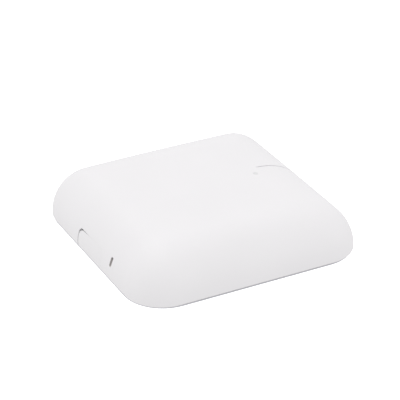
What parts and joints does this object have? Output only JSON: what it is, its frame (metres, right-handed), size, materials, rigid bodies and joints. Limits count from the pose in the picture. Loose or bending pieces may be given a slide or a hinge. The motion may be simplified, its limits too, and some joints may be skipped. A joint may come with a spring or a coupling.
{
  "type": "ceiling access point",
  "caption": "Square domed ceiling access point on a steel mounting bracket, with a cable bay and knock-out tab, a security lock slot and a status light.",
  "frame": {"origin": "centre of the back face that lies on the ceiling", "axes": "+Z out of the ceiling through the dome, -X towards the cable exit and the lock slot, +X towards the status light"},
  "size_m": [0.16, 0.16, 0.035],
  "materials": {
    "cover_white": "satin",
    "base_casting": "satin",
    "black_plastic": "satin",
    "board_green": "satin",
    "zinc_steel": "satin",
    "tin_plate": "satin",
    "screw_steel": "satin",
    "antenna_brass": "satin",
    "contact_gold": "gloss",
    "coax_jacket": "gloss",
    "thermal_pad": "matt",
    "light_pipe_clear": "gloss",
    "led_body": "gloss",
    "label_film": "matt",
    "ferrite": "matt",
    "capacitor_can": "satin"
  },
  "bodies": {
    "housing": {"top_cover": "cover_white", "base_chassis": "base_casting", "port_bay_shroud": "black_plastic", "main_board": "board_green", "ethernet_jack_shield": "tin_plate", "ethernet_jack_insert": "black_plastic", "ethernet_contacts": "contact_gold", "dc_power_jack": "black_plastic", "reset_switch": "black_plastic", "ethernet_magnetics": "black_plastic", "poe_transformer": "ferrite", "power_inductor": "ferrite", "bulk_capacitor_1": "capacitor_can", "bulk_capacitor_2": "capacitor_can", "processor_chip": "black_plastic", "processor_thermal_pad": "thermal_pad", "memory_chip": "black_plastic", "flash_chip": "black_plastic", "radio_chip_2g": "black_plastic", "radio_chip_5g": "black_plastic", "shield_can_memory": "tin_plate", "shield_can_2g_radio": "tin_plate", "shield_can_5g_radio": "tin_plate", "status_led": "led_body", "status_light_pipe": "light_pipe_clear", "antenna_2g_1": "antenna_brass", "antenna_2g_2": "antenna_brass", "antenna_5g_1": "antenna_brass", "antenna_5g_2": "antenna_brass", "antenna_lead_1": "coax_jacket", "antenna_lead_2": "coax_jacket", "antenna_lead_3": "coax_jacket", "antenna_lead_4": "coax_jacket", "coax_plug_1": "antenna_brass", "coax_plug_2": "antenna_brass", "coax_plug_3": "antenna_brass", "coax_plug_4": "antenna_brass", "lock_anchor": "zinc_steel", "lock_anchor_screw": "screw_steel", "mount_stud_1": "screw_steel", "mount_stud_2": "screw_steel", "mount_stud_3": "screw_steel", "mount_stud_4": "screw_steel", "cover_screw_1": "screw_steel", "cover_screw_2": "screw_steel", "cover_screw_3": "screw_steel", "cover_screw_4": "screw_steel", "board_screw_1": "screw_steel", "board_screw_2": "screw_steel", "board_screw_3": "screw_steel", "board_screw_4": "screw_steel", "rating_label": "label_film", "dc_jack_pin": "tin_plate"},
    "bracket": {"mounting_bracket": "zinc_steel"},
    "button": {"reset_button": "cover_white"},
    "knockout": {"cable_knockout": "cover_white"}
  },
  "joints": [
    {"name": "bracket_slide", "type": "slide", "parent": "housing", "child": "bracket", "axis": [1, 0, 0], "range_m": [0, 0.01]},
    {"name": "reset_button_press", "type": "slide", "parent": "housing", "child": "button", "axis": [1, 0, 0], "range_m": [0, 0.0008], "stiffness_N_per_m": 1000, "springref_m": -0.0005},
    {"name": "knockout_pull", "type": "slide", "parent": "housing", "child": "knockout", "axis": [-1, 0, 0], "range_m": [0, 0.012]}
  ]
}
